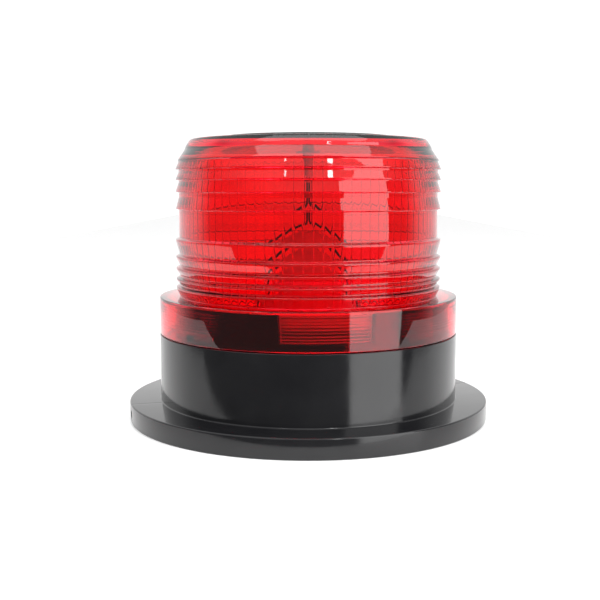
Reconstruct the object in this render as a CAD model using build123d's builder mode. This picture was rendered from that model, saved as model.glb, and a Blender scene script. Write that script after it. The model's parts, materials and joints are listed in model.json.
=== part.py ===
from build123d import *
import os
from math import cos, radians, sin

os.makedirs("parts", exist_ok=True)

# Frame: millimetres, +Z up, origin at the centre of the flange's underside, front of the lamp at -Y.
# A bearing is an angle in degrees from the front, growing towards +X.

# Base housing: flange, body wall, bayonet collar
FLANGE_R = 60.0
FLANGE_TOP = 6.5
FLANGE_RIM_WALL = 2.6
CHANNEL_R = 50.2
CHANNEL_TOP = 4.0
BODY_R = 49.7
BODY_TOP = 28.5
BODY_WALL = 2.4
COLLAR_R = 44.5
COLLAR_WALL = 2.0
COLLAR_TOP = 39.4
DECK_BOTTOM = 26.5
COVER_SEAT = 2.8
GASKET_SEAT = 3.3
LEDGE_R = 45.5
LEDGE_TOP = 6.0
RIB_COUNT = 8
RIB_HALF_SPAN = 0.8
RIB_BOTTOM = 0.8
DRAIN_BEARING = -73.0
DRAIN_R = 1.35
DRAIN_Z = 3.2

# How far a piece added to a moulding reaches into it, so that the two join
OVERLAP = 0.2

# Collar notch that shows the reflector behind it
NOTCH_FROM, NOTCH_TO = -11.0, 26.0
NOTCH_BOTTOM = 30.6

# Bayonet: three hooks on the collar, three lugs in the lens skirt
HOOK_BEARINGS = (-52.0, 68.0, 188.0)
HOOK_SPAN = 18.5
HOOK_STOP_SPAN = 2.0
HOOK_R = 47.1
HOOK_LEDGE_BOTTOM, HOOK_LEDGE_TOP = 31.9, 33.3
LUG_START = 2.7
LUG_SPAN = 11.8
LUG_R = 44.9
LUG_BOTTOM, LUG_TOP = 29.5, 31.5

# Lens: skirt, dome with stepped rings, shoulder and flat deck under the solar panel
SKIRT_R = 49.6
SKIRT_INNER_R = 47.5
SKIRT_BOTTOM, SKIRT_TOP = 28.8, 40.8
SKIRT_ROOF = 39.9
DOME_R = 42.95
DOME_INNER_R = 40.8
LOWER_TIP_R, UPPER_TIP_R = 44.1, 44.0
TOOTH_STEP = 0.7
LOWER_TEETH = ((41.0, 43.8), (44.9, 46.6), (47.9, 50.1), (51.2, 53.9), (54.9, 59.4))
UPPER_TEETH = ((73.3, 69.4), (78.2, 74.9), (81.4, 78.8), (84.7, 82.2))
SHOULDER = ((43.2, 85.3), (42.7, 86.0), (41.9, 87.3), (40.95, 88.6), (40.5, 89.9))
DECK_R = 39.1
LENS_DECK_TOP, LENS_DECK_BOTTOM = 92.0, 90.0
LEAD_HOLE_R = 2.6
SLEEVE_R, SLEEVE_INNER_R = 1.9, 1.25
SLEEVE_BOTTOM = 72.0

# Solar panel stack
GASKET_TOP = 92.2
TRAY_R = 29.4
TRAY_TOP = 92.8
TRAY_FLOOR = 92.4
PANEL_R = 28.4
PANEL_TOP = 92.65
CELL_THICKNESS = 0.1
CELL_COUNT = 7
CELL_PITCH, CELL_WIDTH = 7.4, 7.0
CELL_FIELD_R = 26.5
RESIN_TOP = 93.0

# Circuit board and what stands on it
BOARD_R = 42.0
BOARD_BOTTOM, BOARD_TOP = 27.0, 28.6
BOARD_LUG_BEARINGS = (-60.0, 60.0, 180.0)
BOARD_LUG_R = 34.5
BOARD_LUG_HALF_SPAN = 6.0
BOARD_LUG_BOTTOM = 24.4
BOARD_SCREW_PCR = 37.5
BOARD_SCREW_R = 1.25
REFLECTOR_R = 41.8
REFLECTOR_TOP = 38.5
REFLECTOR_WALL = 1.5
REFLECTOR_FLOOR = 31.0
REFLECTOR_FLOOR_R = 34.5
SLOT_PITCH, SLOT_WIDTH = 0.95, 0.45
SLOT_COUNT = 8
BELL_WALL = 1.4
BELL_FOOT_R = 19.6
BELL_OUTLINE = ((19.6, 33.0), (18.4, 38.0), (15.6, 48.0), (13.4, 54.6), (12.3, 55.9), (3.0, 61.6))
BELL_TOP = 62.0
LED_COUNT = 12
LED_RING_R = 29.0
LED_SIZE = 5.0
LED_THICKNESS = 1.6
LED_WINDOW = 6.0

# Electronic parts on the underside of the board
CHIP_PLACE, CHIP_SIZE, CHIP_HEIGHT = (-14.0, 14.0), (5.0, 4.0), 1.5
CAPACITOR_PLACE, CAPACITOR_R, CAPACITOR_HEIGHT = (15.0, 15.0), 4.0, 11.0
INDUCTOR_PLACE, INDUCTOR_R, INDUCTOR_HEIGHT = (0.0, 18.0), 4.0, 5.0
RESISTORS_PLACE, RESISTOR_SIZE, RESISTOR_HEIGHT = (-14.0, 6.0), (1.6, 3.2), 0.6
RESISTOR_COUNT, RESISTOR_PITCH = 4, 4.0

# Bottom cover, magnet and switch
COVER_R = 47.2
COVER_BOTTOM = 0.8
POCKET_R = 27.0
POCKET_WALL = 1.7
POCKET_TOP = 8.0
CUP_R = 25.0
CUP_WALL = 1.8
CUP_BOTTOM, CUP_TOP = 0.3, 6.3
MAGNET_R, MAGNET_HOLE_R = 22.8, 6.0
MAGNET_BOTTOM, MAGNET_TOP = 0.5, 4.6
MAGNET_SCREW_R = 2.0
BOSS_R = 4.5
BOSS_TOP = 14.0
SCREW_PCR = 42.0
SCREW_BEARINGS = (45.0, 135.0, 225.0, 315.0)
SCREW_R = 1.5
SCREW_HEAD_R = 2.9
SCREW_HEAD_TOP, SCREW_HEAD_HEIGHT = 1.9, 0.9
SCREW_LENGTH = 10.0
SCREW_BOSS_R = 3.6
SWITCH_Y = 35.0
SWITCH_SIZE = (13.0, 6.4, 4.2)
SWITCH_TRAVEL = 3.0
KNOB_SIZE = (3.0, 2.5, 2.1)
KNOB_BOTTOM = 1.2
KNOB_CLEARANCE = 0.35

# Cross recess of a screw, as parts of its head's radius and height
CROSS_LENGTH, CROSS_WIDTH, CROSS_DEPTH = 1.3, 0.28, 0.6

# Seal between lens and housing, in a groove round the housing's top edge
SEAL_INNER_R, SEAL_OUTER_R = 47.7, 49.1
SEAL_BOTTOM = 27.6

# Battery: one AA cell lying across the magnet pocket
CELL_R = 7.25
CELL_BODY_LENGTH = 49.0
NUB_R, NUB_LENGTH = 2.75, 1.5
CELL_Y, CELL_Z = -16.0, 17.0
CELL_NUB_TIP_X = 27.4
HOLDER_SIZE = (58.8, 17.8)
HOLDER_WALL = 1.5
HOLDER_BOTTOM, HOLDER_FLOOR, HOLDER_TOP = 8.0, 9.6, 20.0
CONTACT_THICKNESS = 0.5
CONTACT_WIDTH = 10.0
SPRING_WIRE_R, SPRING_R = 0.35, 4.5
SPRING_TURNS = 3

# Wires
LEAD_R = 0.5
LEAD_BEND_R, TIGHT_BEND_R = 2.0, 1.0


def spot(radius, bearing):
    """Point on the XY plane at a radius and a bearing."""
    return (radius * sin(radians(bearing)), -radius * cos(radians(bearing)))


def turned(points):
    """Solid of revolution about Z from (radius, height) corners."""
    with BuildPart() as piece:
        with BuildSketch(Plane.XZ):
            with BuildLine():
                Polyline(*points, close=True)
            make_face()
        revolve(axis=Axis.Z)
    return piece.part


def ring(inner_r, outer_r, bottom, top):
    """Plain ring about Z."""
    return turned([(inner_r, bottom), (outer_r, bottom), (outer_r, top), (inner_r, top)])


def sector(inner_r, outer_r, bearing_from, bearing_to, bottom, top):
    """Piece of a ring between two bearings."""
    start = bearing_from - 90
    span = bearing_to - bearing_from
    with BuildPart() as piece:
        with BuildSketch(Plane.XY.offset(bottom)):
            with BuildLine():
                inside = CenterArc((0, 0), inner_r, start, span)
                outside = CenterArc((0, 0), outer_r, start, span)
                Line(inside @ 0, outside @ 0)
                Line(inside @ 1, outside @ 1)
            make_face()
        extrude(amount=top - bottom)
    return piece.part


def screw(radius, head_radius, head_low, head_high, tip):
    """Pan-head screw about Z, from its head's two faces to its tip, with a cross recess."""
    outer_face = head_low if tip > head_high else head_high
    inner_face = head_high if tip > head_high else head_low
    inward = 1 if tip > head_high else -1
    recess_depth = CROSS_DEPTH * abs(head_high - head_low)
    with BuildPart() as piece:
        with BuildSketch(Plane.XY.offset(outer_face)):
            Circle(head_radius)
        extrude(amount=inward * abs(head_high - head_low))
        with BuildSketch(Plane.XY.offset(inner_face)):
            Circle(radius)
        extrude(amount=tip - inner_face)
        with BuildSketch(Plane.XY.offset(outer_face)):
            Rectangle(head_radius * CROSS_LENGTH, head_radius * CROSS_WIDTH)
            Rectangle(head_radius * CROSS_WIDTH, head_radius * CROSS_LENGTH)
        extrude(amount=inward * recess_depth, mode=Mode.SUBTRACT)
    return piece.part


def wire(points, bends):
    """Round insulated wire along straight runs joined by arcs."""
    with BuildPart() as piece:
        with BuildLine() as route:
            FilletPolyline(*points, radius=bends)
        with BuildSketch(Plane(origin=route.line @ 0, z_dir=route.line % 0)):
            Circle(LEAD_R)
        sweep()
    return piece.part


# Base housing: one moulding with flange, body wall, deck and collar
body_inner_r = BODY_R - BODY_WALL
collar_inner_r = COLLAR_R - COLLAR_WALL
channel_outer_r = FLANGE_R - FLANGE_RIM_WALL
with BuildPart() as base_housing:
    add(turned([
        (COVER_R + 0.3, 0), (CHANNEL_R, 0), (CHANNEL_R, CHANNEL_TOP), (channel_outer_r, CHANNEL_TOP),
        (channel_outer_r, 0), (FLANGE_R - 0.3, 0), (FLANGE_R, 0.5), (FLANGE_R, FLANGE_TOP - 0.5),
        (FLANGE_R - 0.4, FLANGE_TOP), (BODY_R + 0.3, FLANGE_TOP), (BODY_R, FLANGE_TOP + 0.4),
        (BODY_R, BODY_TOP), (COLLAR_R, BODY_TOP), (COLLAR_R, COLLAR_TOP), (collar_inner_r, COLLAR_TOP),
        (collar_inner_r, DECK_BOTTOM), (body_inner_r, DECK_BOTTOM), (body_inner_r, LEDGE_TOP),
        (LEDGE_R, LEDGE_TOP), (LEDGE_R, GASKET_SEAT), (COVER_R + 0.3, GASKET_SEAT),
    ]))
    for number in range(RIB_COUNT):
        middle = (number + 0.5) * 360 / RIB_COUNT
        add(sector(
            CHANNEL_R - OVERLAP, channel_outer_r + OVERLAP, middle - RIB_HALF_SPAN, middle + RIB_HALF_SPAN,
            RIB_BOTTOM, CHANNEL_TOP + OVERLAP,
        ))
    for bearing in SCREW_BEARINGS:
        with BuildSketch(Plane.XY.offset(COVER_SEAT)):
            with Locations(spot(SCREW_PCR, bearing)):
                Circle(SCREW_BOSS_R)
        extrude(amount=DECK_BOTTOM - COVER_SEAT)
        add(sector(SCREW_PCR, body_inner_r + OVERLAP, bearing - 1.5, bearing + 1.5, LEDGE_TOP, DECK_BOTTOM))
    for bearing in BOARD_LUG_BEARINGS:
        lug_from, lug_to = bearing - BOARD_LUG_HALF_SPAN, bearing + BOARD_LUG_HALF_SPAN
        add(sector(BOARD_LUG_R, collar_inner_r, lug_from, lug_to, BOARD_LUG_BOTTOM, BOARD_BOTTOM))
        add(sector(
            collar_inner_r, body_inner_r + OVERLAP, lug_from, lug_to, BOARD_LUG_BOTTOM, DECK_BOTTOM,
        ))
    for bearing in HOOK_BEARINGS:
        stop_end, hook_end = bearing + HOOK_STOP_SPAN, bearing + HOOK_SPAN
        add(sector(COLLAR_R - OVERLAP, HOOK_R, bearing, stop_end, BODY_TOP, COLLAR_TOP))
        add(sector(COLLAR_R - OVERLAP, HOOK_R, bearing, hook_end, HOOK_LEDGE_BOTTOM, HOOK_LEDGE_TOP))
    notch = sector(COLLAR_R - 4, COLLAR_R + 1, NOTCH_FROM, NOTCH_TO, NOTCH_BOTTOM, COLLAR_TOP + 1)
    add(notch, mode=Mode.SUBTRACT)
    add(ring(SEAL_INNER_R, SEAL_OUTER_R, SEAL_BOTTOM, BODY_TOP), mode=Mode.SUBTRACT)
    for bearing in SCREW_BEARINGS:
        with BuildSketch(Plane.XY.offset(COVER_SEAT)):
            with Locations(spot(SCREW_PCR, bearing)):
                Circle(SCREW_R)
        extrude(amount=SCREW_LENGTH, mode=Mode.SUBTRACT)
    for bearing in BOARD_LUG_BEARINGS:
        with BuildSketch(Plane.XY.offset(BOARD_BOTTOM)):
            with Locations(spot(BOARD_SCREW_PCR, bearing)):
                Circle(BOARD_SCREW_R)
        extrude(amount=BOARD_LUG_BOTTOM - BOARD_BOTTOM, mode=Mode.SUBTRACT)
    drain_start = spot(channel_outer_r - 1, DRAIN_BEARING)
    with BuildSketch(Plane(origin=(*drain_start, DRAIN_Z), z_dir=(*spot(1, DRAIN_BEARING), 0))):
        Circle(DRAIN_R)
    extrude(amount=FLANGE_RIM_WALL + 2, mode=Mode.SUBTRACT)
base_housing.part.label = "base_housing"
export_step(base_housing.part, "parts/base_housing.step")

# Seals: under the lens skirt, and between the housing and its bottom cover
with BuildPart() as lens_seal:
    add(ring(SEAL_INNER_R, SEAL_OUTER_R, SEAL_BOTTOM, BODY_TOP))
lens_seal.part.label = "lens_seal"
export_step(lens_seal.part, "parts/lens_seal.step")

with BuildPart() as cover_gasket:
    add(ring(LEDGE_R + 0.4, COVER_R, COVER_SEAT, GASKET_SEAT))
cover_gasket.part.label = "cover_gasket"
export_step(cover_gasket.part, "parts/cover_gasket.step")


def lens_outline():
    """Half section of the lens: inside wall going up, outside wall coming down."""
    outline = [
        (SKIRT_INNER_R, SKIRT_BOTTOM), (SKIRT_INNER_R, SKIRT_ROOF), (DOME_INNER_R, SKIRT_ROOF),
        (DOME_INNER_R, SHOULDER[0][1]), (DOME_INNER_R - 2.3, SHOULDER[0][1] + 2.6),
        (DOME_INNER_R - 4.2, LENS_DECK_BOTTOM), (LEAD_HOLE_R, LENS_DECK_BOTTOM),
        (LEAD_HOLE_R, LENS_DECK_TOP), (DECK_R - 0.5, LENS_DECK_TOP), (DECK_R, LENS_DECK_TOP - 0.5),
    ]
    outline += reversed(SHOULDER)
    for foot, tip in reversed(UPPER_TEETH):
        outline += [(DOME_R, foot), (UPPER_TIP_R, tip + 0.3), (UPPER_TIP_R, tip), (DOME_R, tip - 0.2)]
    for foot, tip in reversed(LOWER_TEETH):
        outline += [(DOME_R, tip + TOOTH_STEP), (LOWER_TIP_R, tip + 0.2)]
        outline += [(LOWER_TIP_R, tip - 0.4), (DOME_R, foot)]
    outline += [(DOME_R, SKIRT_TOP), (SKIRT_R - 0.5, SKIRT_TOP), (SKIRT_R, SKIRT_TOP - 0.5)]
    outline += [(SKIRT_R, SKIRT_BOTTOM)]
    return outline


with BuildPart() as lens:
    add(turned(lens_outline()))
    for bearing in HOOK_BEARINGS:
        lug_from = bearing + LUG_START
        add(sector(LUG_R, SKIRT_INNER_R + OVERLAP, lug_from, lug_from + LUG_SPAN, LUG_BOTTOM, LUG_TOP))
lens.part.label = "lens"
export_step(lens.part, "parts/lens.step")

# Grommet that lines the lead hole in the lens deck and sleeves the leads below it
with BuildPart() as lead_grommet:
    add(turned([
        (SLEEVE_INNER_R, SLEEVE_BOTTOM), (SLEEVE_R, SLEEVE_BOTTOM), (SLEEVE_R, LENS_DECK_BOTTOM - 0.7),
        (LEAD_HOLE_R + 1.4, LENS_DECK_BOTTOM - 0.7), (LEAD_HOLE_R + 1.4, LENS_DECK_BOTTOM),
        (LEAD_HOLE_R, LENS_DECK_BOTTOM), (LEAD_HOLE_R, LENS_DECK_TOP), (SLEEVE_INNER_R, LENS_DECK_TOP),
    ]))
lead_grommet.part.label = "lead_grommet"
export_step(lead_grommet.part, "parts/lead_grommet.step")

# Solar panel stack on the lens deck
with BuildPart() as panel_gasket:
    add(ring(PANEL_R - 2, TRAY_R - 0.4, LENS_DECK_TOP, GASKET_TOP))
panel_gasket.part.label = "panel_gasket"
export_step(panel_gasket.part, "parts/panel_gasket.step")

with BuildPart() as panel_tray:
    add(turned([
        (LEAD_HOLE_R, GASKET_TOP), (TRAY_R, GASKET_TOP), (TRAY_R, TRAY_TOP - 0.2), (TRAY_R - 0.2, TRAY_TOP),
        (PANEL_R + 0.2, TRAY_TOP), (PANEL_R + 0.2, TRAY_FLOOR), (LEAD_HOLE_R, TRAY_FLOOR),
    ]))
panel_tray.part.label = "panel_tray"
export_step(panel_tray.part, "parts/panel_tray.step")

with BuildPart() as solar_panel:
    with BuildSketch(Plane.XY.offset(TRAY_FLOOR)):
        Circle(PANEL_R)
    extrude(amount=PANEL_TOP - TRAY_FLOOR)
solar_panel.part.label = "solar_panel"
export_step(solar_panel.part, "parts/solar_panel.step")

with BuildPart() as solar_cells:
    with BuildSketch(Plane.XY.offset(PANEL_TOP)):
        with GridLocations(CELL_PITCH, 0, CELL_COUNT, 1):
            Rectangle(CELL_WIDTH, 2 * CELL_FIELD_R)
        Circle(CELL_FIELD_R, mode=Mode.INTERSECT)
    extrude(amount=CELL_THICKNESS)
solar_cells.part.label = "solar_cells"
export_step(solar_cells.part, "parts/solar_cells.step")

with BuildPart() as panel_resin:
    with BuildSketch(Plane.XY.offset(PANEL_TOP + CELL_THICKNESS)):
        Circle(PANEL_R)
    extrude(amount=RESIN_TOP - PANEL_TOP - CELL_THICKNESS)
    fillet(panel_resin.edges().sort_by(Axis.Z)[-1], radius=0.15)
panel_resin.part.label = "panel_resin"
export_step(panel_resin.part, "parts/panel_resin.step")

# Main circuit board on its three lugs
with BuildPart() as main_board:
    with BuildSketch(Plane.XY.offset(BOARD_BOTTOM)):
        Circle(BOARD_R)
        for bearing in BOARD_LUG_BEARINGS:
            with Locations(spot(BOARD_SCREW_PCR, bearing)):
                Circle(BOARD_SCREW_R + 0.3, mode=Mode.SUBTRACT)
    extrude(amount=BOARD_TOP - BOARD_BOTTOM)
main_board.part.label = "main_board"
export_step(main_board.part, "parts/main_board.step")

board_screw = screw(BOARD_SCREW_R, 2.3, BOARD_TOP, BOARD_TOP + 1.5, BOARD_LUG_BOTTOM + 0.4)
with BuildPart() as board_screws:
    for bearing in BOARD_LUG_BEARINGS:
        with Locations(spot(BOARD_SCREW_PCR, bearing)):
            add(board_screw)
board_screws.part.label = "board_screws"
export_step(board_screws.part, "parts/board_screws.step")

with BuildPart() as control_chip:
    with BuildSketch(Plane.XY.offset(BOARD_BOTTOM)):
        with Locations(CHIP_PLACE):
            Rectangle(*CHIP_SIZE)
    extrude(amount=-CHIP_HEIGHT)
control_chip.part.label = "control_chip"
export_step(control_chip.part, "parts/control_chip.step")

with BuildPart() as capacitor:
    with BuildSketch(Plane.XY.offset(BOARD_BOTTOM)):
        with Locations(CAPACITOR_PLACE):
            Circle(CAPACITOR_R)
    extrude(amount=-CAPACITOR_HEIGHT)
    fillet(capacitor.edges().sort_by(Axis.Z)[0], radius=0.6)
capacitor.part.label = "capacitor"
export_step(capacitor.part, "parts/capacitor.step")

with BuildPart() as inductor:
    with BuildSketch(Plane.XY.offset(BOARD_BOTTOM)):
        with Locations(INDUCTOR_PLACE):
            Circle(INDUCTOR_R)
    extrude(amount=-INDUCTOR_HEIGHT)
inductor.part.label = "inductor"
export_step(inductor.part, "parts/inductor.step")

with BuildPart() as resistors:
    with BuildSketch(Plane.XY.offset(BOARD_BOTTOM)):
        with Locations(RESISTORS_PLACE):
            with GridLocations(RESISTOR_PITCH, 0, RESISTOR_COUNT, 1):
                Rectangle(*RESISTOR_SIZE)
    extrude(amount=-RESISTOR_HEIGHT)
resistors.part.label = "resistors"
export_step(resistors.part, "parts/resistors.step")

# White reflector dish that stands on the board: a window over each LED, a hole for each panel lead,
# and a stack of slots through the part of its skirt that the collar's notch shows
LEFT_LEAD_FOOT = (-20.0, -8.9)
RIGHT_LEAD_FOOT = (18.6, -11.4)
reflector_rim_inner = REFLECTOR_R - REFLECTOR_WALL
with BuildPart() as reflector:
    add(turned([
        (reflector_rim_inner, BOARD_TOP), (REFLECTOR_R, BOARD_TOP), (REFLECTOR_R, REFLECTOR_TOP),
        (REFLECTOR_R - 2.4, REFLECTOR_TOP), (REFLECTOR_FLOOR_R, REFLECTOR_FLOOR + REFLECTOR_WALL),
        (BELL_FOOT_R + 0.2, REFLECTOR_FLOOR + REFLECTOR_WALL), (BELL_FOOT_R + 0.2, REFLECTOR_FLOOR),
        (REFLECTOR_FLOOR_R + 0.6, REFLECTOR_FLOOR), (reflector_rim_inner, REFLECTOR_TOP - 2.2),
    ]))
    for number in range(SLOT_COUNT):
        slot_bottom = NOTCH_BOTTOM + (number + 0.5) * SLOT_PITCH - SLOT_WIDTH / 2
        slot = sector(
            reflector_rim_inner - 0.5, REFLECTOR_R + 1, NOTCH_FROM, NOTCH_TO,
            slot_bottom, slot_bottom + SLOT_WIDTH,
        )
        add(slot, mode=Mode.SUBTRACT)
    with BuildSketch(Plane.XY.offset(BOARD_TOP)):
        with PolarLocations(LED_RING_R, LED_COUNT):
            Rectangle(LED_WINDOW, LED_WINDOW)
        with Locations(LEFT_LEAD_FOOT, RIGHT_LEAD_FOOT):
            Circle(LEAD_R + 0.6)
    extrude(amount=REFLECTOR_TOP - BOARD_TOP, mode=Mode.SUBTRACT)
reflector.part.label = "reflector"
export_step(reflector.part, "parts/reflector.step")

# Bell-shaped reflector in the middle, a shell that throws the LEDs' light outwards
with BuildPart() as reflector_bell:
    outside = [(BELL_FOOT_R, BOARD_TOP), *BELL_OUTLINE, (0, BELL_TOP)]
    inside = [(radius - BELL_WALL, height - 0.4) for radius, height in reversed(BELL_OUTLINE[:-1])]
    add(turned([*outside, (0, BELL_TOP - BELL_WALL), *inside, (BELL_FOOT_R - BELL_WALL, BOARD_TOP)]))
reflector_bell.part.label = "reflector_bell"
export_step(reflector_bell.part, "parts/reflector_bell.step")

# Ring of LEDs on the board, under the reflector's windows
with BuildPart() as leds:
    with BuildSketch(Plane.XY.offset(BOARD_TOP)):
        with PolarLocations(LED_RING_R, LED_COUNT):
            Rectangle(LED_SIZE, LED_SIZE)
    extrude(amount=LED_THICKNESS)
leds.part.label = "leds"
export_step(leds.part, "parts/leds.step")

# Bottom cover with the magnet pocket, screw boss, screw holes and switch slot
slot_length = KNOB_SIZE[0] + SWITCH_TRAVEL + 2 * KNOB_CLEARANCE
slot_width = KNOB_SIZE[1] + 2 * KNOB_CLEARANCE
pocket_inner_r = POCKET_R - POCKET_WALL
with BuildPart() as bottom_cover:
    add(turned([
        (MAGNET_SCREW_R, CUP_TOP), (pocket_inner_r, CUP_TOP), (pocket_inner_r, COVER_BOTTOM),
        (COVER_R - 0.3, COVER_BOTTOM), (COVER_R, COVER_BOTTOM + 0.3), (COVER_R, COVER_SEAT),
        (POCKET_R, COVER_SEAT), (POCKET_R, POCKET_TOP), (BOSS_R, POCKET_TOP), (BOSS_R, BOSS_TOP),
        (MAGNET_SCREW_R, BOSS_TOP),
    ]))
    for bearing in SCREW_BEARINGS:
        with BuildSketch(Plane.XY):
            with Locations(spot(SCREW_PCR, bearing)):
                Circle(SCREW_HEAD_R + 0.3)
        extrude(amount=SCREW_HEAD_TOP, mode=Mode.SUBTRACT)
        with BuildSketch(Plane.XY):
            with Locations(spot(SCREW_PCR, bearing)):
                Circle(SCREW_R + 0.2)
        extrude(amount=POCKET_TOP, mode=Mode.SUBTRACT)
    with BuildSketch(Plane.XY):
        with Locations((0, SWITCH_Y)):
            Rectangle(slot_length, slot_width)
    extrude(amount=COVER_SEAT, mode=Mode.SUBTRACT)
bottom_cover.part.label = "bottom_cover"
export_step(bottom_cover.part, "parts/bottom_cover.step")

screw_tip = COVER_SEAT + SCREW_LENGTH - 1
cover_screw = screw(SCREW_R, SCREW_HEAD_R, SCREW_HEAD_TOP - SCREW_HEAD_HEIGHT, SCREW_HEAD_TOP, screw_tip)
with BuildPart() as cover_screws:
    for bearing in SCREW_BEARINGS:
        with Locations(spot(SCREW_PCR, bearing)):
            add(cover_screw)
cover_screws.part.label = "cover_screws"
export_step(cover_screws.part, "parts/cover_screws.step")

# Pot magnet: steel cup, ring magnet and its screw
with BuildPart() as magnet_cup:
    add(turned([
        (MAGNET_SCREW_R + 0.2, MAGNET_TOP), (CUP_R - CUP_WALL, MAGNET_TOP), (CUP_R - CUP_WALL, CUP_BOTTOM),
        (CUP_R, CUP_BOTTOM), (CUP_R, CUP_TOP), (MAGNET_SCREW_R + 0.2, CUP_TOP),
    ]))
magnet_cup.part.label = "magnet_cup"
export_step(magnet_cup.part, "parts/magnet_cup.step")

with BuildPart() as magnet:
    add(ring(MAGNET_HOLE_R, MAGNET_R, MAGNET_BOTTOM, MAGNET_TOP))
magnet.part.label = "magnet"
export_step(magnet.part, "parts/magnet.step")

with BuildPart() as magnet_screw:
    add(screw(MAGNET_SCREW_R, 4.2, MAGNET_TOP - 2.2, MAGNET_TOP, BOSS_TOP - 1))
magnet_screw.part.label = "magnet_screw"
export_step(magnet_screw.part, "parts/magnet_screw.step")

# Slide switch behind the cover, and its knob in the slot
with BuildPart() as switch_body:
    with BuildSketch(Plane.XY.offset(COVER_SEAT)):
        with Locations((0, SWITCH_Y)):
            Rectangle(SWITCH_SIZE[0], SWITCH_SIZE[1])
    extrude(amount=SWITCH_SIZE[2])
    with BuildSketch(Plane.XY.offset(COVER_SEAT)):
        with Locations((0, SWITCH_Y)):
            Rectangle(slot_length, slot_width)
    extrude(amount=KNOB_BOTTOM + KNOB_SIZE[2] - COVER_SEAT + KNOB_CLEARANCE, mode=Mode.SUBTRACT)
switch_body.part.label = "switch_body"
export_step(switch_body.part, "parts/switch_body.step")

with BuildPart() as switch_knob:
    with BuildSketch(Plane.XY.offset(KNOB_BOTTOM)):
        with Locations((-SWITCH_TRAVEL / 2, SWITCH_Y)):
            Rectangle(KNOB_SIZE[0], KNOB_SIZE[1])
    extrude(amount=KNOB_SIZE[2])
    with BuildSketch(Plane.XY.offset(KNOB_BOTTOM)):
        with Locations((-SWITCH_TRAVEL / 2, SWITCH_Y)):
            with GridLocations(1.0, 0, 3, 1):
                Rectangle(0.35, KNOB_SIZE[1])
    extrude(amount=0.3, mode=Mode.SUBTRACT)
switch_knob.part.label = "switch_knob"
export_step(switch_knob.part, "parts/switch_knob.step")

# Battery cell in its tray, with a contact at each end
cell_low_x = CELL_NUB_TIP_X - NUB_LENGTH - CELL_BODY_LENGTH
with BuildPart() as battery:
    with BuildSketch(Plane(origin=(cell_low_x, CELL_Y, CELL_Z), z_dir=(1, 0, 0))):
        Circle(CELL_R)
    extrude(amount=CELL_BODY_LENGTH)
    with BuildSketch(Plane(origin=(CELL_NUB_TIP_X, CELL_Y, CELL_Z), z_dir=(-1, 0, 0))):
        Circle(NUB_R)
    extrude(amount=NUB_LENGTH)
battery.part.label = "battery"
export_step(battery.part, "parts/battery.step")

with BuildPart() as battery_holder:
    with BuildSketch(Plane.XY.offset(HOLDER_BOTTOM)):
        with Locations((0, CELL_Y)):
            Rectangle(*HOLDER_SIZE)
    extrude(amount=HOLDER_TOP - HOLDER_BOTTOM)
    with BuildSketch(Plane.XY.offset(HOLDER_FLOOR)):
        with Locations((0, CELL_Y)):
            Rectangle(HOLDER_SIZE[0] - 2 * HOLDER_WALL, HOLDER_SIZE[1] - 2 * HOLDER_WALL)
    extrude(amount=HOLDER_TOP - HOLDER_FLOOR, mode=Mode.SUBTRACT)
battery_holder.part.label = "battery_holder"
export_step(battery_holder.part, "parts/battery_holder.step")

contact_x = CELL_NUB_TIP_X + CONTACT_THICKNESS / 2
contact_height = HOLDER_TOP + 1.5 - HOLDER_FLOOR
with BuildPart() as positive_contact:
    with BuildSketch(Plane.XY.offset(HOLDER_FLOOR)):
        with Locations((contact_x, CELL_Y)):
            Rectangle(CONTACT_THICKNESS, CONTACT_WIDTH)
    extrude(amount=contact_height)
positive_contact.part.label = "positive_contact"
export_step(positive_contact.part, "parts/positive_contact.step")

with BuildPart() as negative_contact:
    with BuildSketch(Plane.XY.offset(HOLDER_FLOOR)):
        with Locations((-contact_x, CELL_Y)):
            Rectangle(CONTACT_THICKNESS, CONTACT_WIDTH)
    extrude(amount=contact_height)
negative_contact.part.label = "negative_contact"
export_step(negative_contact.part, "parts/negative_contact.step")

spring_low_x = SPRING_WIRE_R - CELL_NUB_TIP_X
spring_length = cell_low_x - SPRING_WIRE_R - spring_low_x
spring_foot = (spring_low_x, CELL_Y, CELL_Z)
with BuildPart() as contact_spring:
    with BuildLine() as coil:
        Helix(spring_length / SPRING_TURNS, spring_length, SPRING_R, center=spring_foot, direction=(1, 0, 0))
    with BuildSketch(Plane(origin=coil.line @ 0, z_dir=coil.line % 0)):
        Circle(SPRING_WIRE_R)
    sweep(is_frenet=True)
contact_spring.part.label = "contact_spring"
export_step(contact_spring.part, "parts/contact_spring.step")

# Panel leads: down the lamp's axis, out over the bell and through the reflector to the board.
# Their top ends stay on the axis, where the twist of the lens does not move them.
lead_top = TRAY_FLOOR - 0.3
with BuildPart() as panel_lead_left:
    add(wire([
        (-0.6, 0, lead_top), (-0.6, 0, 65), (-5, -2.8, 63), (-13.2, -6, 56.8), (-16.8, -6.9, 46),
        (*LEFT_LEAD_FOOT, 36), (*LEFT_LEAD_FOOT, BOARD_TOP),
    ], LEAD_BEND_R))
panel_lead_left.part.label = "panel_lead_left"
export_step(panel_lead_left.part, "parts/panel_lead_left.step")

with BuildPart() as panel_lead_right:
    add(wire([
        (0.6, 0, lead_top), (0.6, 0, 65.6), (5.5, -3, 63.2), (12.5, -6.4, 57), (15.9, -8.4, 46),
        (*RIGHT_LEAD_FOOT, 36), (*RIGHT_LEAD_FOOT, BOARD_TOP),
    ], LEAD_BEND_R))
panel_lead_right.part.label = "panel_lead_right"
export_step(panel_lead_right.part, "parts/panel_lead_right.step")

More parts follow.
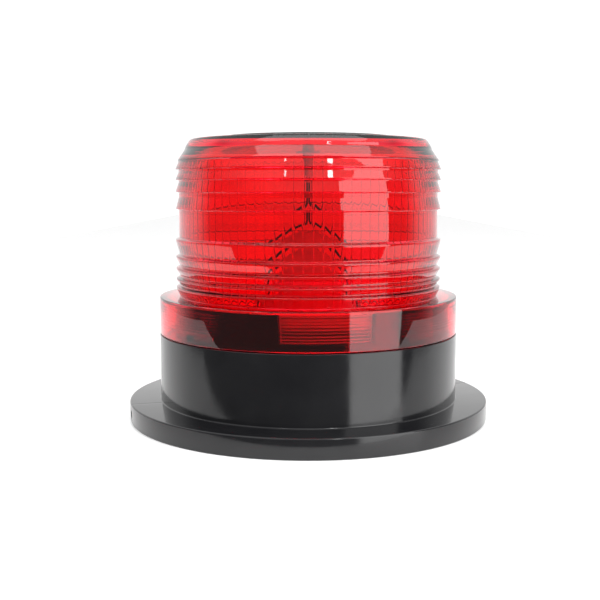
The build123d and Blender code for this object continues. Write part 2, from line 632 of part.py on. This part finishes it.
# Battery and switch leads, up to the underside of the board
with BuildPart() as battery_leads:
    for side in (-1, 1):
        add(wire([
            (side * contact_x, CELL_Y + 4, HOLDER_FLOOR + contact_height),
            (side * contact_x, CELL_Y + 4, 24.6), (side * 16, -4, 24.6), (side * 16, -4, BOARD_BOTTOM),
        ], TIGHT_BEND_R))
battery_leads.part.label = "battery_leads"
export_step(battery_leads.part, "parts/battery_leads.step")

with BuildPart() as switch_leads:
    for side in (-1, 1):
        add(wire([
            (side * 2, SWITCH_Y, COVER_SEAT + SWITCH_SIZE[2]), (side * 2, SWITCH_Y, 12),
            (side * 2, 29, 20), (side * 2, 29, BOARD_BOTTOM),
        ], LEAD_BEND_R))
switch_leads.part.label = "switch_leads"
export_step(switch_leads.part, "parts/switch_leads.step")
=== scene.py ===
import json
import math
import bpy
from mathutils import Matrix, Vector


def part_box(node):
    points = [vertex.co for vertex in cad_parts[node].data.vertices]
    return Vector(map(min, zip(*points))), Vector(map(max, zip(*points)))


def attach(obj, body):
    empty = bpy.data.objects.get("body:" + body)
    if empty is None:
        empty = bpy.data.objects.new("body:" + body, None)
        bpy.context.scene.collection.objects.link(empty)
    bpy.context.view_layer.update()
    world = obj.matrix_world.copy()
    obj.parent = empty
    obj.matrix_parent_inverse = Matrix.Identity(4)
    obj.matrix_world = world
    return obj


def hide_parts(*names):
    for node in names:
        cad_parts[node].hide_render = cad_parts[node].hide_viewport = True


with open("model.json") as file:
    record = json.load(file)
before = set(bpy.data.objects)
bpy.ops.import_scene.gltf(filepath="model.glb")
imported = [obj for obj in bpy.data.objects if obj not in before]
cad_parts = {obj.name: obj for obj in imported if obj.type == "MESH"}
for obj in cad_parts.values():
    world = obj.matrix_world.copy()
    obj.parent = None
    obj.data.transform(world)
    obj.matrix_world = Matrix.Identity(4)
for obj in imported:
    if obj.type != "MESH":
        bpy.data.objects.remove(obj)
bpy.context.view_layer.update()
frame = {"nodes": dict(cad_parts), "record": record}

# Lengths are in millimetres here and become metres in the meshes. Bearings are degrees from the front (-Y),
# growing towards +X, as in the part's own design.
MM = 0.001

# Lens outline
SKIRT_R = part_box("lens")[1].x / MM
SKIRT_WALL, SKIRT_HEIGHT, SKIRT_ROOF_THICKNESS = 2.1, 12.0, 0.9
SKIRT_INNER_R = SKIRT_R - SKIRT_WALL
SKIRT_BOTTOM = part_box("lens")[0].z / MM
SKIRT_TOP = SKIRT_BOTTOM + SKIRT_HEIGHT
SKIRT_ROOF = SKIRT_TOP - SKIRT_ROOF_THICKNESS
DOME_R = 42.95
DOME_INNER_R = 40.8

# Rings outside the dome, as (foot, tip) heights. A ring is a ramp from its foot out to its tip, where a
# narrow rim and a short step end it. The upper ones widen downwards and the lower ones upwards.
LOWER_RINGS = ((41.0, 43.8), (44.9, 46.6), (47.9, 50.1), (51.2, 53.9), (54.9, 59.4))
LOWER_DEPTH, LOWER_STEP = 1.1, 0.75
LOWER_RIM = (-0.4, 0.2)
UPPER_RINGS = ((73.3, 69.4), (78.2, 74.9), (81.4, 78.8), (84.7, 82.2))
UPPER_DEPTH, UPPER_STEP, UPPER_RIM = 1.0, 0.2, 0.25

# Lens deck and the slope up to it, as (radius, height, fillet) corners: upwards inside, downwards outside
DECK_R = 39.1
DECK_THICKNESS = 2.0
DECK_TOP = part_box("lens")[1].z / MM
DECK_BOTTOM = DECK_TOP - DECK_THICKNESS
LEAD_HOLE_R = 2.6
INNER_SLOPE = ((DOME_INNER_R, 85.2, 0.6), (38.5, 87.8, 0.3), (36.6, DECK_BOTTOM, 0.6))
OUTER_SLOPE = ((40.5, 89.9, 0.5), (40.95, 88.6, 0.3), (42.5, 86.3, 0.9), (43.2, 85.3, 0.2))

# Upright flutes inside the dome: slightly hollow strips with a narrow groove between neighbours. The phases
# are where the mesh's columns stand, from one groove's middle at 0 to the next one's at 1. At its top and
# bottom a flute runs out over FLUTE_END.
FLUTES = 90
FLUTE_PHASES = (0.0, 0.03, 0.2, 0.4, 0.6, 0.8, 0.97)
GROOVE_PHASE = 0.01
FLUTE_GROOVE = 0.06
FLUTE_HOLLOW = 0.045
FLUTE_BOTTOM, FLUTE_TOP, FLUTE_END = 42.0, 84.0, 0.4

# Fine level ribs inside the skirt, from above the lugs to below the roof
RIB_PITCH = 0.85
RIB_DEPTH = 0.025
RIB_PEAK = 0.6 * RIB_PITCH
RIBS_BOTTOM = 32.1
ROOF_FILLET = 0.4

# Bayonet lugs and hooks
HOOK_BEARINGS = (-52.0, 68.0, 188.0)
HOOK_SPAN = 18.5
HOOK_STOP_SPAN = 2.0
HOOK_R = 47.1
HOOK_LEDGE = (31.9, 33.3)
LUG_START, LUG_SPAN = 2.7, 11.8
LUG_R = 44.9
LUG = (29.5, 31.5)
STEP_RUN = 0.02
LUG_ROWS = (LUG[0] - STEP_RUN, LUG[0], LUG[1], LUG[1] + STEP_RUN)
LEDGE_ROWS = (HOOK_LEDGE[0] - STEP_RUN, HOOK_LEDGE[0], HOOK_LEDGE[1], HOOK_LEDGE[1] + STEP_RUN)

# Base housing outline
FLANGE_R = 60.0
FLANGE_TOP = 6.5
FLANGE_DRAFT, FLANGE_DRAFT_TOP = 0.15, 3.2
CHANNEL_R, CHANNEL_OUTER_R, CHANNEL_TOP = 50.2, 57.4, 4.0
BODY_R = 49.7
BODY_TOP = 28.5
BODY_INNER_R = 47.3
COLLAR_R, COLLAR_INNER_R = 44.5, 42.5
COLLAR_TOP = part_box("base_housing")[1].z / MM
DECK_UNDERSIDE = 26.5
COVER_R = 47.5
GASKET_SEAT = 3.3
LEDGE_R, LEDGE_TOP = 45.5, 6.0

# Notch in the collar: the rows above its bottom are squashed together just over it
NOTCH_FROM, NOTCH_TO, NOTCH_BOTTOM = -11.0, 26.0, 30.6
NOTCH_SQUASH = 0.01
COLLAR_FOOT = BODY_TOP + 0.1

# Webs across the channel under the flange. WEB_REACH takes in the fillets of the channel's ceiling.
WEBS = 8
WEB_HALF_SPAN = 0.8
WEB_BOTTOM = 0.8
WEB_REACH = 0.4

# Drain hole in the rim and the mould's parting line
DRAIN_R, DRAIN_LENGTH, DRAIN_BEARING, DRAIN_Z = 1.35, 5.0, -73.0, 3.2
PARTING_BEARINGS = (-73.0, 107.0)
PARTING_DEPTH = 0.09
PARTING_HALF_SPAN = 0.12
HOUSING_COLUMNS = 720

# Mesh settings: how near a point is to count as on a wall, the share of an edge that a fillet may take,
# the sides of a round cutter, and the angle in degrees from which an edge is drawn sharp
TOUCH = 0.01
FILLET_SHARE = 0.45
FILLET_STEPS = 4
PIN_SIDES = 48
SHARP_ANGLE = 20


def rounded(corners):
    """Closed outline of (radius, height) points from (radius, height, fillet) corners."""
    outline = []
    count = len(corners)
    for index, (r, z, fillet) in enumerate(corners):
        here = Vector((r, z))
        if fillet == 0:
            outline.append((r, z))
            continue
        before = Vector(corners[index - 1][:2]) - here
        after = Vector(corners[(index + 1) % count][:2]) - here
        reach = min(fillet, FILLET_SHARE * before.length, FILLET_SHARE * after.length)
        start = here + before.normalized() * reach
        end = here + after.normalized() * reach
        for step in range(FILLET_STEPS + 1):
            t = step / FILLET_STEPS
            point = start * (1 - t) ** 2 + here * 2 * t * (1 - t) + end * t ** 2
            outline.append((point.x, point.y))
    return outline


def between(bearing, start, end):
    """Whether a bearing lies in a span that may cross the back of the lamp."""
    return (bearing - start) % 360 <= end - start


def cut_out(piece, cutter):
    """Take a cutter's shape out of a mesh, and remove the cutter."""
    cut = piece.modifiers.new("cut", "BOOLEAN")
    cut.object = cutter
    cut.operation = "DIFFERENCE"
    evaluated = piece.evaluated_get(bpy.context.evaluated_depsgraph_get())
    piece.data = bpy.data.meshes.new_from_object(evaluated)
    piece.modifiers.clear()
    bpy.data.objects.remove(cutter)


def radial_pin(radius, length, distance, bearing, height):
    """Cylinder that points outwards along a bearing."""
    bpy.ops.mesh.primitive_cylinder_add(vertices=PIN_SIDES, radius=radius * MM, depth=length * MM)
    pin = bpy.context.object
    angle = math.radians(bearing)
    pin.location = (distance * MM * math.sin(angle), -distance * MM * math.cos(angle), height * MM)
    pin.rotation_euler = (math.radians(90), 0, angle)
    return pin


def lathe(name, outline, bearings, shape, slot_name, body, node, cutter=None):
    """Closed turned mesh that replaces a node. shape() moves the points of what is not round."""
    points = []
    for bearing in bearings:
        angle = math.radians(bearing)
        for r, z in outline:
            r, z = shape(r, z, bearing)
            points.append((r * MM * math.sin(angle), -r * MM * math.cos(angle), z * MM))
    rows, columns = len(outline), len(bearings)
    faces = []
    for column in range(columns):
        near, far = column * rows, (column + 1) % columns * rows
        for row in range(rows):
            up = (row + 1) % rows
            faces.append((near + up, far + up, far + row, near + row))
    mesh = bpy.data.meshes.new(name)
    mesh.from_pydata(points, [], faces)
    mesh.validate()
    piece = bpy.data.objects.new(name, mesh)
    bpy.context.scene.collection.objects.link(piece)
    if cutter:
        cut_out(piece, cutter)
    piece.data.shade_smooth()
    piece.data.set_sharp_from_angle(angle=math.radians(SHARP_ANGLE))
    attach(piece, body)
    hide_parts(node)
    piece.data.materials.append(MATERIALS[slot_name])


# ---------------------------------------------------------------- materials

# Scales of the noise in cycles per metre: colour drift and uneven gloss on opaque plastic and metal, uneven
# gloss and waviness in clear plastic, and uneven gloss on a solar cell
DRIFT_SCALE, GLOSS_SCALE, GRAIN_STRENGTH = 60, 140, 0.3
CLEAR_GLOSS_SCALE, CLEAR_WAVE_SCALE, CLEAR_WAVE_STRENGTH = 90, 220, 0.15
CELL_GLOSS_SCALE, CELL_ROUGHNESS = 300, (0.25, 0.4)
PLASTIC_IOR = 1.5

# The parts of the noise's range that are stretched over a gloss range and over a pair of colours
NOISE_LOW, NOISE_HIGH = 0.3, 0.7
DARK_AT, LIGHT_AT = 0.35, 0.65

# Solar cell: silver fingers on silicon, drawn where a wave is near its crest
FINGER_SCALE = 170
FINGER_FROM, FINGER_TO = 0.955, 0.985
SILICON, SILVER = (0.006, 0.010, 0.035, 1), (0.42, 0.43, 0.45, 1)


def new_material(name):
    """Empty node material with its shader and an object-space coordinate."""
    made = bpy.data.materials.new(name)
    made.use_nodes = True
    tree = made.node_tree
    shader = tree.nodes["Principled BSDF"]
    coordinate = tree.nodes.new("ShaderNodeTexCoord").outputs["Object"]
    return made, tree, shader, coordinate


def noise(tree, coordinate, scale, detail=4.0):
    """Noise value at a scale in cycles per metre."""
    node = tree.nodes.new("ShaderNodeTexNoise")
    node.inputs["Scale"].default_value = scale
    node.inputs["Detail"].default_value = detail
    tree.links.new(coordinate, node.inputs["Vector"])
    return node.outputs["Fac"]


def spread(tree, value, low, high):
    """Noise value mapped to a range."""
    node = tree.nodes.new("ShaderNodeMapRange")
    node.inputs["From Min"].default_value = NOISE_LOW
    node.inputs["From Max"].default_value = NOISE_HIGH
    node.inputs["To Min"].default_value = low
    node.inputs["To Max"].default_value = high
    tree.links.new(value, node.inputs["Value"])
    return node.outputs["Result"]


def bump(tree, value, shader, height, strength):
    """Surface relief of a height in metres."""
    node = tree.nodes.new("ShaderNodeBump")
    node.inputs["Strength"].default_value = strength
    node.inputs["Distance"].default_value = height
    tree.links.new(value, node.inputs["Height"])
    tree.links.new(node.outputs["Normal"], shader.inputs["Normal"])


def two_tone(tree, value, shader, dark, light):
    """Base colour that wanders between two close colours."""
    node = tree.nodes.new("ShaderNodeValToRGB")
    node.color_ramp.elements[0].position = DARK_AT
    node.color_ramp.elements[1].position = LIGHT_AT
    node.color_ramp.elements[0].color = (*dark, 1)
    node.color_ramp.elements[1].color = (*light, 1)
    tree.links.new(value, node.inputs["Fac"])
    tree.links.new(node.outputs["Color"], shader.inputs["Base Color"])


def opaque(name, dark, light, roughness, grain, relief, metallic=0.0):
    """Moulded or metal surface: colour drift, uneven gloss and a fine surface grain."""
    made, tree, shader, coordinate = new_material(name)
    two_tone(tree, noise(tree, coordinate, DRIFT_SCALE), shader, dark, light)
    gloss = spread(tree, noise(tree, coordinate, GLOSS_SCALE), *roughness)
    tree.links.new(gloss, shader.inputs["Roughness"])
    bump(tree, noise(tree, coordinate, grain), shader, relief, GRAIN_STRENGTH)
    shader.inputs["Metallic"].default_value = metallic
    shader.inputs["IOR"].default_value = PLASTIC_IOR
    return made


def clear(name, color, roughness, ior, relief):
    """Clear or tinted moulded plastic that refracts."""
    made, tree, shader, coordinate = new_material(name)
    shader.inputs["Base Color"].default_value = (*color, 1)
    shader.inputs["Transmission Weight"].default_value = 1.0
    shader.inputs["IOR"].default_value = ior
    gloss = spread(tree, noise(tree, coordinate, CLEAR_GLOSS_SCALE), *roughness)
    tree.links.new(gloss, shader.inputs["Roughness"])
    waves = noise(tree, coordinate, CLEAR_WAVE_SCALE, detail=2.0)
    bump(tree, waves, shader, relief, CLEAR_WAVE_STRENGTH)
    return made


def solar_cell():
    """Dark blue silicon with fine silver fingers."""
    made, tree, shader, coordinate = new_material("cell_silicon")
    fingers = tree.nodes.new("ShaderNodeTexWave")
    fingers.bands_direction = "Y"
    fingers.inputs["Scale"].default_value = FINGER_SCALE
    fingers.inputs["Distortion"].default_value = 0
    tree.links.new(coordinate, fingers.inputs["Vector"])
    ramp = tree.nodes.new("ShaderNodeValToRGB")
    ramp.color_ramp.elements[0].position = FINGER_FROM
    ramp.color_ramp.elements[0].color = SILICON
    ramp.color_ramp.elements[1].position = FINGER_TO
    ramp.color_ramp.elements[1].color = SILVER
    tree.links.new(fingers.outputs["Fac"], ramp.inputs["Fac"])
    tree.links.new(ramp.outputs["Color"], shader.inputs["Base Color"])
    gloss = spread(tree, noise(tree, coordinate, CELL_GLOSS_SCALE), *CELL_ROUGHNESS)
    tree.links.new(gloss, shader.inputs["Roughness"])
    return made


MATERIALS = {
    "black_gloss": opaque(
        "housing_abs", (0.005, 0.005, 0.006), (0.009, 0.009, 0.010), (0.10, 0.17), 900, 2e-5,
    ),
    "black_matte": opaque(
        "cover_abs", (0.012, 0.012, 0.013), (0.022, 0.022, 0.023), (0.38, 0.55), 2400, 6e-5,
    ),
    "lens_red": clear("lens_polycarbonate", (0.88, 0.012, 0.035), (0.0, 0.04), 1.54, 1e-5),
    "resin_clear": clear("panel_epoxy", (0.90, 0.93, 0.95), (0.02, 0.08), PLASTIC_IOR, 2e-5),
    "white_plastic": opaque(
        "reflector_abs", (0.78, 0.78, 0.76), (0.86, 0.86, 0.84), (0.3, 0.42), 1200, 2e-5,
    ),
    "led_resin": opaque("led_silicone", (0.84, 0.80, 0.62), (0.88, 0.84, 0.68), (0.2, 0.3), 2000, 2e-5),
    "board_green": opaque(
        "board_mask", (0.010, 0.10, 0.035), (0.018, 0.15, 0.05), (0.25, 0.4), 1600, 3e-5,
    ),
    "component_black": opaque(
        "component_epoxy", (0.015, 0.015, 0.015), (0.03, 0.03, 0.03), (0.5, 0.65), 3000, 4e-5,
    ),
    "capacitor_sleeve": opaque(
        "capacitor_film", (0.012, 0.016, 0.06), (0.02, 0.026, 0.09), (0.2, 0.3), 800, 2e-5,
    ),
    "screw_steel": opaque(
        "zinc_screw", (0.50, 0.50, 0.51), (0.64, 0.64, 0.65), (0.22, 0.38), 2600, 4e-5, 1.0,
    ),
    "magnet_steel": opaque(
        "zinc_cup", (0.56, 0.56, 0.58), (0.68, 0.68, 0.70), (0.2, 0.36), 1800, 3e-5, 1.0,
    ),
    "magnet_ferrite": opaque(
        "ferrite", (0.025, 0.025, 0.027), (0.05, 0.05, 0.052), (0.55, 0.75), 2600, 8e-5,
    ),
    "contact_nickel": opaque(
        "nickel", (0.60, 0.58, 0.54), (0.72, 0.70, 0.66), (0.15, 0.28), 1500, 2e-5, 1.0,
    ),
    "battery_can": opaque(
        "battery_sleeve", (0.04, 0.24, 0.09), (0.06, 0.30, 0.12), (0.2, 0.3), 700, 2e-5,
    ),
    "seal_rubber": opaque(
        "seal_rubber", (0.012, 0.012, 0.012), (0.022, 0.022, 0.022), (0.6, 0.8), 2400, 6e-5,
    ),
    "rubber_white": opaque(
        "silicone_white", (0.76, 0.76, 0.74), (0.84, 0.84, 0.82), (0.8, 0.95), 3600, 1e-4,
    ),
    "panel_black": opaque(
        "panel_laminate", (0.006, 0.007, 0.012), (0.010, 0.011, 0.018), (0.2, 0.3), 900, 2e-5,
    ),
    "cell_blue": solar_cell(),
    "wire_black": opaque(
        "wire_pvc_black", (0.006, 0.006, 0.006), (0.012, 0.012, 0.012), (0.35, 0.5), 1800, 3e-5,
    ),
    "wire_red": opaque(
        "wire_pvc_red", (0.42, 0.012, 0.012), (0.52, 0.02, 0.02), (0.35, 0.5), 1800, 3e-5,
    ),
    "knob_white": opaque("knob_nylon", (0.68, 0.68, 0.66), (0.78, 0.78, 0.76), (0.4, 0.55), 2400, 4e-5),
}

for entry in frame["record"]["subparts"]:
    node_object = frame["nodes"][entry["node"]]
    node_object.data.materials.clear()
    node_object.data.materials.append(MATERIALS[entry["material_slot"]])


# ---------------------------------------------------------------- lens

def upper_ring(foot, tip):
    """Corners of a ring above the dome's plain band, downwards: ramp, rim and step."""
    rim_r = DOME_R + UPPER_DEPTH
    return [
        (DOME_R, foot, 0.1), (rim_r, tip + UPPER_RIM, 0.1), (rim_r, tip, 0.1),
        (DOME_R, tip - UPPER_STEP, 0.1),
    ]


def lower_ring(foot, tip):
    """Corners of a ring below the dome's plain band, downwards: step, rim and ramp."""
    rim_r = DOME_R + LOWER_DEPTH
    return [
        (DOME_R, tip + LOWER_STEP, 0.15), (rim_r, tip + LOWER_RIM[1], 0.3), (rim_r, tip + LOWER_RIM[0], 0.3),
        (DOME_R, foot, 0.1),
    ]


def lens_outline():
    """Closed section of the lens: up the inside, across the deck, down the outside."""
    corners = [(SKIRT_INNER_R, SKIRT_BOTTOM, 0.2)]
    corners += [(SKIRT_INNER_R, height, 0) for height in LUG_ROWS]
    for rib in range(int((SKIRT_ROOF - ROOF_FILLET - RIBS_BOTTOM) / RIB_PITCH)):
        foot = RIBS_BOTTOM + rib * RIB_PITCH
        corners += [(SKIRT_INNER_R, foot, 0), (SKIRT_INNER_R + RIB_DEPTH, foot + RIB_PEAK, 0.1)]
    corners += [(SKIRT_INNER_R, SKIRT_ROOF, ROOF_FILLET), (DOME_INNER_R, SKIRT_ROOF, ROOF_FILLET)]
    flute_rows = (FLUTE_BOTTOM, FLUTE_BOTTOM + FLUTE_END, FLUTE_TOP - FLUTE_END, FLUTE_TOP)
    corners += [(DOME_INNER_R, height, 0) for height in flute_rows]
    corners += INNER_SLOPE
    corners += [(LEAD_HOLE_R, DECK_BOTTOM, 0), (LEAD_HOLE_R, DECK_TOP, 0), (DECK_R, DECK_TOP, 0.7)]
    corners += OUTER_SLOPE
    for foot, tip in reversed(UPPER_RINGS):
        corners += upper_ring(foot, tip)
    for foot, tip in reversed(LOWER_RINGS):
        corners += lower_ring(foot, tip)
    corners += [(DOME_R, SKIRT_TOP, 0.3), (SKIRT_R, SKIRT_TOP, 0.5), (SKIRT_R, SKIRT_BOTTOM, 0.2)]
    return rounded(corners)


def lens_shape(r, z, bearing):
    """Flutes on the dome's inner wall and lugs on the skirt's."""
    if FLUTE_BOTTOM < z < FLUTE_TOP and abs(r - DOME_INNER_R) < TOUCH:
        phase = (bearing * FLUTES / 360 + 0.5) % 1
        if min(phase, 1 - phase) < GROOVE_PHASE:
            return r + FLUTE_GROOVE, z
        return r + FLUTE_HOLLOW * (1 - (2 * phase - 1) ** 2), z
    if LUG[0] <= z <= LUG[1] and abs(r - SKIRT_INNER_R) < TOUCH:
        for start in HOOK_BEARINGS:
            if between(bearing, start + LUG_START, start + LUG_START + LUG_SPAN):
                return LUG_R, z
    return r, z


flute_bearings = [(flute + phase - 0.5) * 360 / FLUTES for flute in range(FLUTES) for phase in FLUTE_PHASES]
lathe("lens_moulding", lens_outline(), flute_bearings, lens_shape, "lens_red", "lens_unit", "lens")


# ---------------------------------------------------------------- base housing

def housing_outline():
    """Closed section of the base housing, from the foot of the body wall outwards and up."""
    corners = [
        (COVER_R, 0, 0.2), (CHANNEL_R, 0, 0.2), (CHANNEL_R, CHANNEL_TOP, 0.3),
        (CHANNEL_OUTER_R, CHANNEL_TOP, 0.3), (CHANNEL_OUTER_R, 0, 0.2),
        (FLANGE_R - FLANGE_DRAFT, 0, 0.5), (FLANGE_R, FLANGE_DRAFT_TOP, 0), (FLANGE_R, FLANGE_TOP, 0.7),
        (BODY_R, FLANGE_TOP, 0.5), (BODY_R, BODY_TOP, 0.35), (COLLAR_R, BODY_TOP, 0.2),
    ]
    corners += [(COLLAR_R, height, 0) for height in LEDGE_ROWS]
    corners += [
        (COLLAR_R, COLLAR_TOP, 0.3), (COLLAR_INNER_R, COLLAR_TOP, 0.3),
        (COLLAR_INNER_R, DECK_UNDERSIDE, 0.2), (BODY_INNER_R, DECK_UNDERSIDE, 0.3),
        (BODY_INNER_R, LEDGE_TOP, 0.2), (LEDGE_R, LEDGE_TOP, 0.2), (LEDGE_R, GASKET_SEAT, 0),
        (COVER_R, GASKET_SEAT, 0),
    ]
    return rounded(corners)


def on_hook(z, bearing):
    """Whether a point of the collar belongs to a hook's ledge or to its stop."""
    for start in HOOK_BEARINGS:
        stop = between(bearing, start, start + HOOK_STOP_SPAN)
        ledge = HOOK_LEDGE[0] <= z <= HOOK_LEDGE[1] and between(bearing, start, start + HOOK_SPAN)
        if stop or ledge:
            return True
    return False


def on_web(r, z, bearing):
    """Whether a point of the channel's ceiling belongs to one of the webs across it."""
    if abs(z - CHANNEL_TOP) >= WEB_REACH or not CHANNEL_R <= r <= CHANNEL_OUTER_R:
        return False
    middles = [(web + 0.5) * 360 / WEBS for web in range(WEBS)]
    return any(between(bearing, middle - WEB_HALF_SPAN, middle + WEB_HALF_SPAN) for middle in middles)


def parting_line(r, z):
    """Outside of the housing along its parting line, sunk a little."""
    if r > BODY_R - TOUCH and 0 < z < FLANGE_TOP - TOUCH:
        return r - PARTING_DEPTH * (r > CHANNEL_OUTER_R), z
    if r > BODY_R - TOUCH and z <= FLANGE_TOP + TOUCH:
        return r, z - PARTING_DEPTH * (z > FLANGE_TOP - TOUCH)
    if abs(r - BODY_R) < TOUCH and z < BODY_TOP:
        return r - PARTING_DEPTH, z
    return r, z


def housing_shape(r, z, bearing):
    """Notch and hooks on the collar, webs in the flange and the parting line."""
    on_collar = z > COLLAR_FOOT and r < COLLAR_R + TOUCH
    if on_collar and z > NOTCH_BOTTOM and between(bearing, NOTCH_FROM, NOTCH_TO):
        return r, NOTCH_BOTTOM + (z - NOTCH_BOTTOM) * NOTCH_SQUASH
    if on_collar and r > COLLAR_R - TOUCH and on_hook(z, bearing):
        return HOOK_R, z
    if on_web(r, z, bearing):
        return r, WEB_BOTTOM
    if any(abs((bearing - line + 180) % 360 - 180) < PARTING_HALF_SPAN for line in PARTING_BEARINGS):
        return parting_line(r, z)
    return r, z


housing_bearings = [column * 360 / HOUSING_COLUMNS for column in range(HOUSING_COLUMNS)]
drain = radial_pin(DRAIN_R, DRAIN_LENGTH, (CHANNEL_OUTER_R + FLANGE_R) / 2, DRAIN_BEARING, DRAIN_Z)
lathe(
    "housing_moulding", housing_outline(), housing_bearings, housing_shape, "black_gloss", "base_unit",
    "base_housing", cutter=drain,
)


# ---------------------------------------------------------------- camera, floor and lights

# Lengths in metres, angles in degrees and the lens in millimetres, fitted to the photo's view of the lamp
CAMERA_DISTANCE = 0.31906
CAMERA_HEIGHT = 0.07566
CAMERA_PITCH = 6.63
CAMERA_LENS, SENSOR_WIDTH, CAMERA_SHIFT = 56.92, 36, -0.0137
CLIP_START, CLIP_END = 0.01, 50

# The floor ends just in front of the lamp and at its sides, so that little of it shines up into the dome
FLOOR_HALF, FLOOR_FRONT, FLOOR_BACK = 0.4, -0.075, 4.0

# Studio brightness in front, behind and above, and the direction components between which it changes
FRONT_LEVEL, BACK_LEVEL, SKY_LEVEL = 0.17, 1.16, 1.05
BACK_FROM, BACK_TO = 0.0, 0.5
SKY_FROM, SKY_TO = 0.4, 0.75


def build_camera():
    """Camera in front of the lamp, a little above its middle and looking slightly down."""
    data = bpy.data.cameras.new("camera")
    data.sensor_width = SENSOR_WIDTH
    data.lens = CAMERA_LENS
    data.shift_x = CAMERA_SHIFT
    data.clip_start = CLIP_START
    data.clip_end = CLIP_END
    camera = bpy.data.objects.new("camera", data)
    camera.location = (0, -CAMERA_DISTANCE, CAMERA_HEIGHT)
    camera.rotation_euler = (math.radians(90 - CAMERA_PITCH), 0, 0)
    bpy.context.scene.collection.objects.link(camera)
    bpy.context.scene.camera = camera


def build_floor():
    """White tabletop under the lamp, that runs back to the horizon."""
    mesh = bpy.data.meshes.new("floor")
    front = [(-FLOOR_HALF, FLOOR_FRONT, 0), (FLOOR_HALF, FLOOR_FRONT, 0)]
    back = [(FLOOR_HALF, FLOOR_BACK, 0), (-FLOOR_HALF, FLOOR_BACK, 0)]
    mesh.from_pydata(front + back, [], [(0, 1, 2, 3)])
    floor = bpy.data.objects.new("floor", mesh)
    bpy.context.scene.collection.objects.link(floor)
    white = opaque("floor_white", (0.90, 0.90, 0.90), (0.92, 0.92, 0.92), (0.28, 0.34), 200, 1e-5)
    mesh.materials.append(white)


def softbox(name, place, size, radiance, aim):
    """Soft light of a (width, height) and brightness, that faces a height on the lamp's axis.

    Its place is a bearing, an elevation and a distance from the point that it faces.
    """
    bearing, elevation, distance = place
    width, height = size
    data = bpy.data.lights.new(name, "AREA")
    data.shape = "RECTANGLE"
    data.size = width
    data.size_y = height
    data.energy = radiance * math.pi * width * height
    light = bpy.data.objects.new(name, data)
    a, e = math.radians(bearing), math.radians(elevation)
    away = Vector((math.sin(a) * math.cos(e), -math.cos(a) * math.cos(e), math.sin(e)))
    light.location = Vector((0, 0, aim)) + away * distance
    light.rotation_euler = (-away).to_track_quat("-Z", "Y").to_euler()
    light.visible_camera = False
    bpy.context.scene.collection.objects.link(light)
    return light


def build_world():
    """White studio: bright behind and above the lamp, dimmer in front, and white to the camera itself."""
    world = bpy.data.worlds.new("studio")
    bpy.context.scene.world = world
    world.use_nodes = True
    tree = world.node_tree
    background = tree.nodes["Background"]
    background.inputs["Color"].default_value = (1, 1, 1, 1)
    coordinate = tree.nodes.new("ShaderNodeTexCoord")
    split = tree.nodes.new("ShaderNodeSeparateXYZ")
    tree.links.new(coordinate.outputs["Generated"], split.inputs["Vector"])
    strength = tree.nodes.new("ShaderNodeLightPath").outputs["Is Camera Ray"]
    ramps = (("Y", BACK_FROM, BACK_TO, BACK_LEVEL), ("Z", SKY_FROM, SKY_TO, SKY_LEVEL))
    for axis, start, end, highest in ramps:
        ramp = tree.nodes.new("ShaderNodeMapRange")
        ramp.interpolation_type = "SMOOTHSTEP"
        ramp.inputs["From Min"].default_value = start
        ramp.inputs["From Max"].default_value = end
        ramp.inputs["To Min"].default_value = FRONT_LEVEL
        ramp.inputs["To Max"].default_value = highest
        tree.links.new(split.outputs[axis], ramp.inputs["Value"])
        brightest = tree.nodes.new("ShaderNodeMath")
        brightest.operation = "MAXIMUM"
        tree.links.new(ramp.outputs["Result"], brightest.inputs[0])
        tree.links.new(strength, brightest.inputs[1])
        strength = brightest.outputs["Value"]
    tree.links.new(strength, background.inputs["Strength"])


build_camera()
build_floor()
build_world()
softbox("key", place=(50, 8, 0.75), size=(0.58, 0.9), radiance=3.1, aim=0.09)
softbox("top", place=(5, 70, 0.8), size=(1.1, 0.32), radiance=2.2, aim=0.06)
softbox("bulb_right", place=(21, 42, 0.9), size=(0.055, 0.035), radiance=22, aim=0.08)
softbox("bulb_left", place=(-22, 42, 0.9), size=(0.02, 0.02), radiance=14, aim=0.08)
# Lights what is inside the dome, and leaves no reflection of its own on the glossy surfaces
fill = softbox("fill", place=(0, 42, 0.9), size=(1.2, 0.6), radiance=4.2, aim=0.06)
fill.visible_glossy = False
bpy.context.scene.view_settings.view_transform = "Standard"
